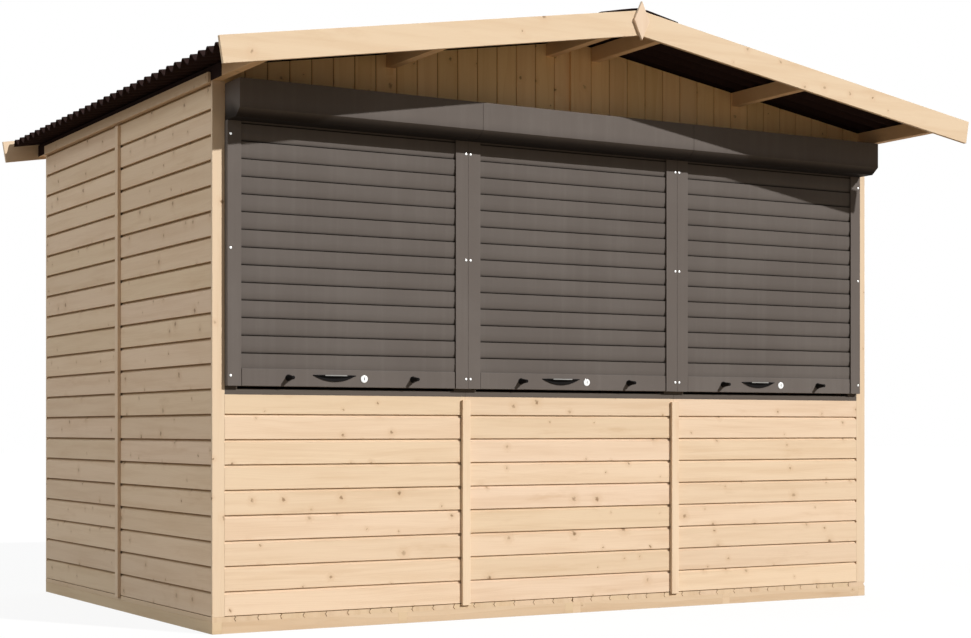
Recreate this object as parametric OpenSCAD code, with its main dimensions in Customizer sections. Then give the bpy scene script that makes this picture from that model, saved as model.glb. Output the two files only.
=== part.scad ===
// Wooden sales kiosk: boarded walls on a timber floor, a counter front closed by three roller
// shutters, and a low gable roof of corrugated sheets with a deep front overhang.
// The origin is on the ground at the middle of the footprint. X runs along the counter front,
// Y from the front to the back and Z up. All sizes are in millimetres.

/* [Footprint] */
// Width over the boards of the two side walls
hut_w = 3740; // [3300:10:4200]
// Depth over the boards of the front and back walls
hut_d = 2450; // [2100:10:2900]

/* [Floor] */
// Width of a floor bearer
bearer_w = 45; // [35:1:60]
// Height of a floor bearer
bearer_h = 52; // [40:1:80]
// Thickness of the floor boards
floor_t = 22; // [16:1:30]

/* [Walls] */
// Height of wall that one board covers
board_cover = 111; // [104:1:118]
// Rows of boards in a side wall
wall_rows = 21; // [19:1:23]
// Thickness of the wall boards
clad_t = 16; // [12:1:22]
// Depth of the studs and rails behind the boards
stud_t = 42; // [34:1:60]
// Width of the studs and rails behind the boards
stud_w = 45; // [30:1:60]
// Height of the fascia board along the top of a side wall
plate_h = 47; // [35:1:60]
// How far a fascia board stands proud of the side boards
plate_out = 14; // [8:1:24]

/* [Cover strips] */
// Width of a strip over a panel joint
strip_w = 42; // [30:1:60]
// Thickness of a strip over a panel joint
strip_t = 16; // [10:1:22]
// How far a joint strip hangs below the wall boards
strip_lap = 6; // [2:1:15]
// How far a joint strip stops below the top of its wall
strip_drop = 16; // [4:1:40]
// Thickness of a corner strip
corner_t = 16; // [12:1:24]

/* [Counter front] */
// Height of the boarded front below the sill
counter_h = 973; // [800:1:1100]
// Height of the sill
sill_h = 26; // [18:1:40]
// Open joint between the sill and the shutters
sill_gap = 11; // [5:1:20]
// Width of a stud behind a shutter guide
post_w = 60; // [45:1:64]

/* [Shutters] */
// Width of a guide rail
guide_w = 66; // [64:1:85]
// Depth of a guide rail
guide_t = 30; // [28:1:40]
// Depth of the channel in a guide rail
channel_d = 32; // [20:1:45]
// Pitch of the shutter slats
slat_pitch = 77.4; // [55:0.2:90]
// Thickness of a shutter slat
slat_t = 14; // [9:1:18]
// Rise of a slat's curved front
slat_bulge = 3; // [1:0.5:4]
// Height of the open joint between two slats
slat_joint = 3; // [2:0.5:6]
// Height of the bottom bar of a shutter
bar_h = 78; // [60:1:110]
// Set-back of a bottom bar from the guide faces
bar_recess = 4; // [2:1:8]
// Height of a shutter box
box_h = 161; // [140:1:220]
// Depth of a shutter box
box_d = 170; // [140:1:220]
// Depth of the bevel along a shutter box
bevel_d = 44; // [20:1:70]
// Height of the bevel along a shutter box
bevel_h = 34; // [20:1:70]
// Sheet thickness of a shutter box
box_t = 2; // [1:0.5:4]

/* [Shutter fittings] */
// Distance from the middle of a shutter to each stop stub
stub_x = 312; // [220:1:400]
// Length of a stop stub
stub_len = 56; // [30:1:80]
// Radius of a stop stub at the bottom bar
stub_r = 15; // [10:1:22]
// Radius of a stop stub at its free end
stub_tip_r = 8; // [5:1:9]
// Distance of the pull handle's middle to the left of the shutter's middle
pull_x = 86; // [60:1:120]
// Width of a pull handle
pull_w = 214; // [150:1:240]
// Height of a pull handle
pull_h = 30; // [20:1:40]
// How far a pull handle stands out
pull_out = 24; // [14:1:35]
// Distance of the lock to the right of the shutter's middle
lock_x = 62; // [45:1:90]
// Radius of a lock rosette
lock_r = 18; // [12:1:24]
// Thickness of a lock rosette
lock_t = 5; // [3:1:9]

/* [Back door] */
// Width of the back door
door_w = 850; // [700:10:1000]
// Height of the back door
door_h = 1920; // [1750:10:2000]
// Thickness of the back door
door_t = 40; // [30:1:54]

/* [Roof] */
// Pitch of the roof in degrees
pitch = 9.28; // [7:0.02:12]
// Height of the roof plane over the side wall, at the outer boards
eave_rise = 73; // [68:1:110]
// Reach of the roof sheets past each side wall
eave_out = 135; // [80:1:200]
// Reach of the roof past the front wall
front_out = 570; // [300:5:700]
// Reach of the roof past the back wall
back_out = 163; // [100:1:300]
// Width of a purlin
purlin_w = 45; // [35:1:60]
// Height of a purlin
purlin_h = 70; // [55:1:80]
// Distance from the ridge to the ridge purlins
ridge_purlin_x = 109; // [60:1:160]
// Distance from the ridge to the middle purlins
middle_purlin_x = 975; // [800:5:1100]
// Pitch of the corrugation
wave_pitch = 95; // [70:1:110]
// Height of the corrugation
wave_h = 38; // [24:1:45]
// Thickness of a roof sheet
sheet_t = 4; // [3:0.5:6]
// Distance from the front edge of the sheets to the first wave top
wave_lead = 67; // [10:1:90]
// Reach of the ridge cap to each side
cap_w = 215; // [160:5:320]
// How much steeper the ridge cap is than the roof, in degrees
cap_lift = 2.6; // [1:0.1:5]

/* [Gable trim] */
// Width of a barge board
barge_w = 114; // [90:1:140]
// Thickness of a barge board
barge_t = 18; // [14:1:26]
// Reach of a barge board past the edge of the roof sheets
barge_past = 44; // [10:1:80]
// Height of a finial
finial_h = 180; // [140:1:240]
// Width of a finial
finial_w = 84; // [60:1:140]
// Thickness of a finial
finial_t = 14; // [10:1:30]
// Height of a finial's middle over the middle of the barge boards
finial_up = 8; // [0:1:30]

/* [Hidden] */
$fn = 64;

// Open joint between neighbouring panels, boxes and guides
seam = 1;
// Clearance at a notch, a channel and under a sheet
fit_gap = 0.3;
// Joint around the back door
door_gap = 2;
// How far a door strip laps over the door
door_lap = 14;
// Open joint between a bottom bar and its guides
bar_gap = 3;
// Length of curtain that stays inside a shutter box
curtain_in = 24;
// Part of the lowest slat that the bottom bar covers
slat_cover = 10.8;
// Depth of the joint between two slats
joint_d = 5;
// Thickness of the ends of a shutter box
box_end = 4;
// Gap between the gable boards and the roof sheets
gable_gap = 3;
// Gap of each roof sheet to the ridge line
ridge_gap = 20;
// Thickness of the back plate of a pull handle
pull_t = 5;
// Thickness of a stub's foot, length of its straight tip, and rounding of its edges
stub_foot = 4;
stub_tip = 10;
stub_round = 2;
// Width, height and depth of the key slot in a lock
key_w = 4;
key_h = 14;
key_depth = 3;
// Door knob: distance from the door strip, radius and reach of the ball, neck and plate
knob_in = 60;
knob_r = 24;
knob_out = 38;
knob_neck_r = 11;
knob_plate_r = 28;
knob_plate_t = 5;

wall_t = clad_t + stud_t;
wall_z = bearer_h + floor_t;
wall_h = wall_rows * board_cover;
wall_top = wall_z + wall_h;
half_w = hut_w / 2;
half_d = hut_d / 2;
in_w = half_w - wall_t;
bay_w = 2 * in_w / 3;
side_d = half_d - corner_t;

sill_z = wall_z + counter_h;
sill_top = sill_z + sill_h;
shutter_z = sill_top + sill_gap;
bar_top = shutter_z + bar_h;
bar_mid = shutter_z + bar_h / 2;
box_z = wall_top - box_h;
guide_y = -half_d - guide_t;
bar_y = guide_y + bar_recess;
curtain_y = -half_d - guide_t / 2;
clear_w = bay_w / 2 - guide_w;
curtain_half = clear_w + channel_d - 2;
slat_start = bar_top - slat_cover;
slat_count = floor((box_z + curtain_in - slat_start) / slat_pitch) + 1;

roof_front = -half_d - front_out + barge_t;
roof_back = half_d + back_out - barge_t;
eave_x = half_w + eave_out;
barge_x = eave_x + barge_past;
crest_rise = (wave_h + fit_gap) / cos(pitch);
barge_drop = barge_w / cos(pitch);
cap_slope = tan(pitch + cap_lift);
// The outer purlins lie over the side boards, on a seat board
eave_purlin_x = half_w - purlin_w;
// Distances from the ridge to the inner sides of the purlins on one slope
PURLIN_XS = [ridge_purlin_x, middle_purlin_x, eave_purlin_x];

// Height of the plane on which the roof sheets lie, at a distance from the ridge
function roof_z(x) = wall_top + eave_rise + tan(pitch) * (half_w - x);
// Underside of the outer purlins
eave_seat = roof_z(eave_purlin_x) - purlin_h;
// Height of the barge boards' top edge, just under the wave tops
function barge_top(x) = roof_z(x) + crest_rise - 0.8;

TIMBER = "#ead0ac";
BOARDS = "#e8c8a0";
FRAME = "#d9b98c";
GREY = "#6f6863";
BLACK = "#1d1b1a";
SILVER = "#d8d8d6";
BITUMEN = "#2a1f1d";

// Stretches a drawing of X and Z from one Y to another
module along_y(y0, y1) {
    translate([0, y1, 0])
        rotate([90, 0, 0])
            linear_extrude(y1 - y0)
                children();
}

// Stretches a drawing of Y and Z from one X to another
module along_x(x0, x1) {
    translate([x0, 0, 0])
        rotate([90, 0, 90])
            linear_extrude(x1 - x0)
                children();
}

// A box between two corners
module block(low, high) {
    translate(low)
        cube(high - low);
}

// A piece and its mirror image across the ridge line
module both_sides() {
    children();
    mirror([1, 0, 0])
        children();
}

// A piece repeated in the three shutter bays
module each_bay() {
    for (bay = [-1:1])
        translate([bay * bay_w, 0, 0])
            children();
}

// Wall panel: boards outside at Y = 0, with full studs and short rails as a frame behind them.
// The pockets of the frame stay open to the inside.
module panel(len, h, bays, rows) {
    stud_step = (len - stud_w) / bays;
    rail_h = min(stud_w, h / (rows + 1));
    rail_step = (h - rail_h) / rows;
    frame_t = stud_t - fit_gap;
    cube([len, clad_t, h]);
    translate([0, clad_t + fit_gap, 0]) {
        for (i = [0:bays])
            translate([i * stud_step, 0, 0])
                cube([stud_w, frame_t, h]);
        for (i = [0:bays - 1], j = [0:rows])
            translate([i * stud_step + stud_w + fit_gap, 0, j * rail_step])
                cube([stud_step - stud_w - 2 * fit_gap, frame_t, rail_h]);
    }
}

// Half of a side wall, from its front end to its back end
module side_panel(y0, y1) {
    translate([-half_w, y1, wall_z])
        rotate([0, 0, -90])
            panel(y1 - y0, wall_h, 2, 2);
}

module floor_bearers() {
    for (x = [0, (half_w - bearer_w) / 2, half_w - bearer_w])
        block([x, -half_d, 0], [x + bearer_w, half_d, bearer_h]);
}

module floor_bearers_left() {
    color(TIMBER)
        mirror([1, 0, 0])
            floor_bearers();
}

module floor_bearers_right() {
    color(TIMBER)
        floor_bearers();
}

// Short rails between the bearers, along the front and the back
module floor_rails() {
    middle = (half_w - bearer_w) / 2;
    color(TIMBER)
        both_sides()
            for (x = [bearer_w, middle + bearer_w], y = [-half_d, half_d - bearer_w])
                block([x, y, 0], [x + middle - bearer_w, y + bearer_w, bearer_h]);
}

module floor_half() {
    block([seam / 2, -half_d, bearer_h], [half_w, half_d, wall_z]);
}

module floor_left() {
    color(TIMBER)
        mirror([1, 0, 0])
            floor_half();
}

module floor_right() {
    color(TIMBER)
        floor_half();
}

module left_wall_front() {
    color(BOARDS)
        side_panel(-side_d, -seam / 2);
}

module left_wall_back() {
    color(BOARDS)
        side_panel(seam / 2, side_d);
}

module right_wall_front() {
    color(BOARDS)
        mirror([1, 0, 0])
            side_panel(-side_d, -seam / 2);
}

module right_wall_back() {
    color(BOARDS)
        mirror([1, 0, 0])
            side_panel(seam / 2, side_d);
}

// Strips over the joints in the middle of the side walls
module side_wall_strips() {
    color(TIMBER)
        both_sides()
            block([half_w, -strip_w / 2, wall_z - strip_lap],
                  [half_w + strip_t, strip_w / 2, wall_top - strip_drop]);
}

// Seat boards on the side walls under the outer purlins, and fascia boards outside them
module wall_plates() {
    color(TIMBER)
        both_sides() {
            block([in_w, -side_d, wall_top], [half_w, side_d, eave_seat]);
            block([half_w, -side_d, wall_top], [half_w + plate_out, side_d, wall_top + plate_h]);
        }
}

// Strips over the four ends of the side walls, up to the outer purlins
module corner_strips() {
    color(TIMBER)
        both_sides()
            for (y = [-half_d, side_d])
                block([in_w, y, wall_z], [half_w, y + corner_t, eave_seat]);
}

// Boarded panel below the sill in one bay of the front
module front_panel(bay) {
    color(BOARDS)
        translate([(bay - 0.5) * bay_w + seam / 2, -half_d, wall_z])
            panel(bay_w - seam, counter_h, 2, 1);
}

module front_panel_left() {
    front_panel(-1);
}

module front_panel_middle() {
    front_panel(0);
}

module front_panel_right() {
    front_panel(1);
}

// Strips over the joints between the front panels
module front_panel_strips() {
    color(TIMBER)
        both_sides()
            translate([bay_w / 2, 0, 0])
                block([-strip_w / 2, -half_d - strip_t, wall_z - strip_lap],
                      [strip_w / 2, -half_d, sill_z - strip_drop]);
}

module counter_sill() {
    color(GREY)
        block([-in_w, -half_d, sill_z], [in_w, -half_d + wall_t, sill_top]);
}

// Studs behind the guides: one at each end and a pair at each mullion
module front_posts() {
    color(FRAME)
        both_sides() {
            block([in_w - post_w, -half_d, sill_top], [in_w, -half_d + wall_t, box_z]);
            block([bay_w / 2 - post_w, -half_d, sill_top],
                  [bay_w / 2 + post_w, -half_d + wall_t, box_z]);
        }
}

// Beam on the front posts, behind the shutter boxes
module front_header() {
    color(FRAME)
        block([-in_w, -half_d, box_z], [in_w, -half_d + wall_t, wall_top]);
}

// Outline of half a gable, with seats for its purlins
module gable_outline() {
    difference() {
        polygon([
            [seam / 2, wall_top],
            [in_w, wall_top],
            [in_w, eave_seat],
            [eave_purlin_x, eave_seat],
            [eave_purlin_x, roof_z(eave_purlin_x) - gable_gap],
            [seam / 2, roof_z(seam / 2) - gable_gap]
        ]);
        for (x = PURLIN_XS)
            translate([x - fit_gap, roof_z(x) - purlin_h])
                square([purlin_w + 2 * fit_gap, 2 * purlin_h]);
    }
}

// Half a gable: upright boards with a rail behind their lower ends
module gable_half() {
    along_y(-half_d, -half_d + clad_t)
        gable_outline();
    along_y(-half_d, -half_d + wall_t)
        intersection() {
            gable_outline();
            translate([0, wall_top])
                square([in_w, stud_w]);
        }
}

module front_gable() {
    color(BOARDS)
        both_sides()
            gable_half();
}

module back_gable() {
    color(BOARDS)
        both_sides()
            mirror([0, 1, 0])
                gable_half();
}

// Strips over the joints in the middle of the gables
module gable_strips() {
    color(TIMBER)
        for (y = [-half_d - strip_t, half_d])
            block([-strip_w / 2, y, wall_top],
                  [strip_w / 2, y + strip_t, roof_z(strip_w / 2) - gable_gap]);
}

// Boarded panel beside the back door, on the right seen from the front
module back_panel() {
    edge = door_w / 2 + door_gap;
    translate([in_w, half_d, wall_z])
        rotate([0, 0, 180])
            panel(in_w - edge, wall_h, 2, 2);
}

module back_wall_left() {
    color(BOARDS)
        mirror([1, 0, 0])
            back_panel();
}

module back_wall_right() {
    color(BOARDS)
        back_panel();
}

module back_wall_over_door() {
    edge = door_w / 2 + door_gap - seam / 2;
    lintel_z = wall_z + door_h + 2 * door_gap;
    color(BOARDS)
        translate([edge, half_d, lintel_z])
            rotate([0, 0, 180])
                panel(2 * edge, wall_top - lintel_z, 2, 1);
}

module back_door() {
    color(BOARDS)
        block([-door_w / 2, half_d - door_t, wall_z + door_gap],
              [door_w / 2, half_d, wall_z + door_gap + door_h]);
}

// Two upright strips beside the door and one on top of them, over the joint to the wall
module back_door_strips() {
    inner = door_w / 2 - door_lap;
    outer = inner + strip_w;
    head = wall_z + door_gap + door_h - door_lap;
    color(TIMBER) {
        both_sides()
            block([inner, half_d, wall_z], [outer, half_d + strip_t, head - fit_gap]);
        block([-outer, half_d, head], [outer, half_d + strip_t, head + strip_w]);
    }
}

// Plain turned knob at the middle of the door's height: a plate, a neck and a flattened ball
module back_door_knob() {
    knob_x = door_w / 2 - door_lap - knob_in;
    color(BLACK)
        translate([-knob_x, half_d, wall_z + door_h / 2])
            rotate([-90, 0, 0])
                rotate_extrude() {
                    square([knob_plate_r, knob_plate_t]);
                    square([knob_neck_r, knob_out]);
                    intersection() {
                        translate([0, knob_out])
                            circle(r = knob_r);
                        translate([0, knob_out - knob_r / 2])
                            square([knob_r, knob_r]);
                    }
                }
}

// Section of a guide that stands to the left of its shutter, with the channel open to the right
module guide_section() {
    channel_w = slat_t + 2 * fit_gap;
    difference() {
        translate([-bay_w / 2 + seam / 2, guide_y])
            square([guide_w - seam / 2, guide_t]);
        translate([-clear_w - channel_d, curtain_y - channel_w / 2])
            square([channel_d + 1, channel_w]);
    }
}

module left_guide() {
    translate([0, 0, shutter_z])
        linear_extrude(box_z - shutter_z)
            guide_section();
}

module outer_guides() {
    color(GREY)
        both_sides()
            translate([-bay_w, 0, 0])
                left_guide();
}

module mullion_guides() {
    color(GREY)
        both_sides() {
            left_guide();
            translate([bay_w, 0, 0])
                left_guide();
        }
}

// Section of a shutter box, drawn smaller all round by an inset
function box_section(inset) =
    let (front = -half_d - box_d, slant = norm([bevel_d, bevel_h]))
    [
        [-half_d - inset, box_z + inset],
        [-half_d - inset, wall_top - inset],
        [front + inset, wall_top - inset],
        [front + inset, box_z + bevel_h + inset * (slant - bevel_h) / bevel_d],
        [front + bevel_d + inset * (slant - bevel_d) / bevel_h, box_z + inset]
    ];

// Hollow box of folded sheet, with a slot below for the curtain
module shutter_box() {
    half = bay_w / 2 - seam / 2;
    slot_half = slat_t / 2 + 2;
    difference() {
        along_x(-half, half)
            polygon(box_section(0));
        along_x(-half + box_end, half - box_end)
            polygon(box_section(box_t));
        block([-curtain_half - 2, curtain_y - slot_half, box_z - 1],
              [curtain_half + 2, curtain_y + slot_half, box_z + box_t + 1]);
    }
}

module shutter_boxes() {
    color(GREY)
        each_bay()
            shutter_box();
}

// Front of a slat: set back at its two edges and curved between them
function slat_front(k) =
    let (
        low = max(bar_top, slat_start + k * slat_pitch) + slat_joint / 2,
        high = slat_start + (k + 1) * slat_pitch - slat_joint / 2,
        steps = 6
    )
    concat(
        [[-slat_t / 2 + joint_d, low]],
        [for (i = [0:steps])
            let (t = i / steps)
            [-slat_t / 2 + slat_bulge * pow(2 * t - 1, 2), low + t * (high - low)]],
        [[-slat_t / 2 + joint_d, high]]
    );

// Curtain of slats from the bottom bar up into its box
module curtain(bay) {
    fronts = [for (k = [0:slat_count - 1]) each slat_front(k)];
    top = slat_start + slat_count * slat_pitch - slat_joint / 2;
    outline = concat(
        [[slat_t / 2, bar_top], [-slat_t / 2 + joint_d, bar_top]],
        fronts,
        [[slat_t / 2, top]]
    );
    color(GREY)
        translate([bay * bay_w, curtain_y, 0])
            along_x(-curtain_half, curtain_half)
                polygon(outline);
}

module curtain_left() {
    curtain(-1);
}

module curtain_middle() {
    curtain(0);
}

module curtain_right() {
    curtain(1);
}

module bottom_bars() {
    half = clear_w - bar_gap;
    color(GREY)
        each_bay()
            block([-half, bar_y, shutter_z], [half, -half_d - 2, bar_top]);
}

// Section of a stop: a foot, a tapered stem and a tip with a rounded edge
module stub_section() {
    polygon([
        [0, 0],
        [stub_r, 0],
        [stub_r, stub_foot],
        [stub_r - stub_round, stub_foot + stub_round],
        [stub_tip_r, stub_len - stub_tip],
        [stub_tip_r, stub_len - stub_round],
        [stub_tip_r - stub_round, stub_len],
        [0, stub_len]
    ]);
}

// Tapered stops that stand out of the bottom bars
module stop_stubs() {
    color(BLACK)
        each_bay()
            for (side = [-1, 1])
                translate([side * stub_x, bar_y, bar_mid])
                    rotate([90, 0, 0])
                        rotate_extrude()
                            stub_section();
}

// Half-moon pull: a thin plate with a curved lip along its straight upper edge
module pull_handle() {
    radius = (pull_w * pull_w / 4 + pull_h * pull_h) / (2 * pull_h);
    lip_radius = (pull_w * pull_w / 4 + pull_out * pull_out) / (2 * pull_out);
    along_y(-pull_t, 0)
        intersection() {
            translate([0, radius - pull_h])
                circle(r = radius, $fn = 180);
            translate([-pull_w / 2, -pull_h])
                square([pull_w, pull_h]);
        }
    translate([0, 0, -pull_t])
        linear_extrude(pull_t)
            intersection() {
                translate([0, lip_radius - pull_out])
                    circle(r = lip_radius, $fn = 180);
                translate([-pull_w / 2, -pull_out])
                    square([pull_w, pull_out]);
            }
}

module pull_handles() {
    color(BLACK)
        each_bay()
            translate([-pull_x, bar_y, bar_mid + pull_h / 2])
                pull_handle();
}

// Round lock plate with a chamfered edge and an upright slot for the key
module lock_rosette() {
    difference() {
        rotate_extrude()
            polygon([
                [0, 0],
                [lock_r, 0],
                [lock_r, lock_t / 2],
                [lock_r - lock_t / 2, lock_t],
                [0, lock_t]
            ]);
        translate([-key_w / 2, -key_h / 2, lock_t - key_depth])
            cube([key_w, key_h, lock_t]);
    }
}

module lock_rosettes() {
    color(SILVER)
        each_bay()
            translate([lock_x, bar_y, bar_mid])
                rotate([90, 0, 0])
                    lock_rosette();
}

// Six purlins with upright sides and their tops planed to the roof
module purlins() {
    color(TIMBER)
        both_sides()
            for (x = PURLIN_XS)
                along_y(roof_front, roof_back)
                    polygon([
                        [x, roof_z(x) - purlin_h],
                        [x + purlin_w, roof_z(x) - purlin_h],
                        [x + purlin_w, roof_z(x + purlin_w)],
                        [x, roof_z(x)]
                    ]);
}

// Section of a corrugated sheet: Y across the waves, and height over the purlins
module sheet_section() {
    steps = 10;
    step = wave_pitch / steps;
    start = roof_front + fit_gap;
    count = floor((roof_back - fit_gap - start) / step);
    swing = (wave_h - sheet_t) / 2;
    rise = [for (i = [0:count]) fit_gap + swing + swing * cos(360 * (i * step - wave_lead) / wave_pitch)];
    polygon(concat(
        [for (i = [0:count]) [start + i * step, rise[i]]],
        [for (i = [count:-1:0]) [start + i * step, rise[i] + sheet_t]]
    ));
}

// Sheet on the right slope, from near the ridge down to the eave
module roof_sheet() {
    from_ridge = ridge_gap / cos(pitch);
    to_eave = eave_x / cos(pitch);
    translate([0, 0, roof_z(0)])
        rotate([0, pitch, 0])
            along_x(from_ridge, to_eave)
                sheet_section();
}

module roof_sheet_left() {
    color(BITUMEN)
        mirror([1, 0, 0])
            roof_sheet();
}

module roof_sheet_right() {
    color(BITUMEN)
        roof_sheet();
}

// Cap over the ridge: steeper than the roof, rounded on top, resting on the wave tops
module ridge_cap() {
    steps = 12;
    ridge_r = 30;
    foot = roof_z(cap_w) + crest_rise + fit_gap;
    xs = [for (i = [-steps:steps]) cap_w * i / steps];
    under = [for (x = xs)
        foot + cap_slope * (norm([cap_w, ridge_r]) - norm([x, ridge_r]))];
    color(BITUMEN)
        along_y(roof_front - barge_t + 3, roof_back + barge_t - 3)
            polygon(concat(
                [for (i = [0:2 * steps]) [xs[i], under[i]]],
                [for (i = [2 * steps:-1:0]) [xs[i], under[i] + sheet_t]]
            ));
}

// Barge board on the right slope, cut upright at the ridge and square at the eave
module barge() {
    lean = barge_w * sin(pitch);
    foot_z = barge_top(barge_x) - barge_drop;
    polygon([
        [seam / 2, barge_top(seam / 2) - barge_drop],
        [barge_x, foot_z],
        [barge_x + lean, foot_z + barge_w * cos(pitch)],
        [seam / 2, barge_top(seam / 2)]
    ]);
}

module front_barges() {
    color(TIMBER)
        both_sides()
            along_y(roof_front - barge_t, roof_front)
                barge();
}

module back_barges() {
    color(TIMBER)
        both_sides()
            along_y(roof_back, roof_back + barge_t)
                barge();
}

// Diamond plates over the barge joints, front and back
module finials() {
    middle = barge_top(0) - barge_drop / 2 + finial_up;
    front = roof_front - barge_t;
    back = roof_back + barge_t;
    color(TIMBER)
        for (y = [front - finial_t, back])
            along_y(y, y + finial_t)
                polygon([
                    [0, middle - finial_h / 2],
                    [finial_w / 2, middle],
                    [0, middle + finial_h / 2],
                    [-finial_w / 2, middle]
                ]);
}

floor_bearers_left();
floor_bearers_right();
floor_rails();
floor_left();
floor_right();
left_wall_front();
left_wall_back();
right_wall_front();
right_wall_back();
side_wall_strips();
wall_plates();
corner_strips();
front_panel_left();
front_panel_middle();
front_panel_right();
front_panel_strips();
counter_sill();
front_posts();
front_header();
front_gable();
back_wall_left();
back_wall_right();
back_wall_over_door();
back_door();
back_door_strips();
back_door_knob();
back_gable();
gable_strips();
outer_guides();
mullion_guides();
shutter_boxes();
curtain_left();
curtain_middle();
curtain_right();
bottom_bars();
stop_stubs();
pull_handles();
lock_rosettes();
purlins();
roof_sheet_left();
roof_sheet_right();
ridge_cap();
front_barges();
back_barges();
finials();
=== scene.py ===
import math
import random
from contextlib import contextmanager

import bmesh
import bpy
from bpy.props import FloatProperty, FloatVectorProperty, PointerProperty
from mathutils import Matrix, Vector


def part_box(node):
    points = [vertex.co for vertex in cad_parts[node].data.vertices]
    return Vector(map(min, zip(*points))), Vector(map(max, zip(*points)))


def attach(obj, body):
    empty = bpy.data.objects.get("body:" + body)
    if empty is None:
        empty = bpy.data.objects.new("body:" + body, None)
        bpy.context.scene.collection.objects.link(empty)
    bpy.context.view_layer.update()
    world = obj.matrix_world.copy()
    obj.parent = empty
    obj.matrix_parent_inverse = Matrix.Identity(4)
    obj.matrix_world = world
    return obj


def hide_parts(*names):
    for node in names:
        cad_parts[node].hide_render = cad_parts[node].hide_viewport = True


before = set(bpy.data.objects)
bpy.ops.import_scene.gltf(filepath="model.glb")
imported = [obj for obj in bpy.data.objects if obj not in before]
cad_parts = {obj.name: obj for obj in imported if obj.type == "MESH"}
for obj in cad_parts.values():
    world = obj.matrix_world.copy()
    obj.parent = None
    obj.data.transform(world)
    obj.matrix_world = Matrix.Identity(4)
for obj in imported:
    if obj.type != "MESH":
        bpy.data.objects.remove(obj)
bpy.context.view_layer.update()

bl_info = {
    "name": "Wooden sales kiosk",
    "version": (1, 0, 0),
    "blender": (4, 5, 0),
    "location": "View3D > Sidebar > Kiosk",
    "description": "Dresses the kiosk's solids with boards, shutters, roofing and their finishes",
    "category": "Object",
}

BODY = "root"

X = Vector((1, 0, 0))
Y = Vector((0, 1, 0))
Z = Vector((0, 0, 1))
# Distance in metres under which two places count as one
NEAR = 0.00002
MERGE_ANGLE = math.radians(0.5)
CORNER_ANGLE = math.radians(30)
SMOOTH_ANGLE = math.radians(50)

# Direction from the outer face of each wall into the wall
INWARD = {"front": Y, "back": -Y, "left": X, "right": -X}
BAYS = ("left", "middle", "right")
WALL_PANELS = {
    **{f"front_panel_{bay}": "front" for bay in BAYS},
    **{f"{side}_wall_{end}": side for side in ("left", "right") for end in ("front", "back")},
    **{f"back_wall_{place}": "back" for place in ("left", "right", "over_door")},
}


def length_property(name, text, default):
    return FloatProperty(name=name, description=text, default=default, min=0.0, unit="LENGTH")


def number_property(name, text, default):
    return FloatProperty(name=name, description=text, default=default)


def colour_property(name, text, default):
    return FloatVectorProperty(
        name=name, description=text, default=default, size=3, min=0.0, max=1.0, subtype="COLOR"
    )


class KioskTimberSizes(bpy.types.PropertyGroup):
    """Sizes of the boards and timbers."""

    cover: length_property("Board cover", "Height of wall that one board covers", 0.111)
    board_t: length_property("Board thickness", "Thickness of the wall boards", 0.016)
    cove_h: length_property("Cove height", "Height of the hollow along a board's upper edge", 0.015)
    cove_d: length_property("Cove depth", "Depth of the hollow along a board's upper edge", 0.011)
    # Share of the painted joint shade in the front boards' hollows
    front_grime: number_property("Front joint shade", "Share of grime in the front boards' joints, over 0", 0.59)
    lip: length_property("Lip", "Rounding of a board's lower edge", 0.0012)
    gable_board: length_property("Gable board", "Width of an upright gable board", 0.1072)
    door_board: length_property("Door board", "Width of an upright door board", 0.1063)
    groove_w: length_property("Joint width", "Half the width of a joint between upright boards", 0.0034)
    groove_d: length_property("Joint depth", "Depth of a joint between upright boards", 0.008)
    floor_board: length_property("Floor board", "Width of a floor board", 0.110)
    floor_gap: length_property("Floor gap", "Open joint between floor boards", 0.0036)
    tongue: length_property("Tongue", "Reach of a floor board's tongue", 0.007)
    foot_gap: length_property("Foot gap", "Height of the undercut along the lowest board's foot", 0.0045)
    foot_d: length_property("Foot gap depth", "Depth of the undercut along the lowest board's foot", 0.008)
    arris: length_property("Arris", "Rounding of a planed timber's edges", 0.0012)


class KioskShutterSizes(bpy.types.PropertyGroup):
    """Sizes of the roller shutters."""

    pitch: length_property("Slat pitch", "Height of one slat", 0.0774)
    lap: length_property("Slat lap", "Part of the lowest slat behind the bottom bar", 0.0108)
    joint: length_property("Slat joint", "Height of the joint between two slats", 0.0050)
    joint_d: length_property("Slat joint depth", "Depth of the joint between two slats", 0.009)
    bulge: length_property("Slat curve", "How far a slat's lower half curves back", 0.0062)
    # Painted shade on the boxes' undersides: darker towards the bottom over this height
    under_shade_h: length_property("Grime height", "Height of the grime on the underside of the boxes", 0.075)
    fold: length_property("Fold", "Rounding of a folded sheet's edges", 0.002)
    plug_r: length_property("Plug radius", "Radius of a screw plug in a guide", 0.006)
    plug_out: length_property("Plug reach", "How far a screw plug stands out", 0.0025)
    plug_edge: length_property("Plug edge", "Distance of a plug from an outer guide's edge", 0.015)
    plug_pair: length_property("Plug pair", "Distance of a mullion plug from the mullion's middle", 0.012)
    plug_top: length_property("Plug top", "Distance of the upper plugs below the box", 0.060)
    plug_foot: length_property("Plug foot", "Distance of the lower plugs above a guide's foot", 0.0455)
    plug_rise: length_property("Plug rise", "Height of the middle plugs above half way", 0.030)


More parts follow.
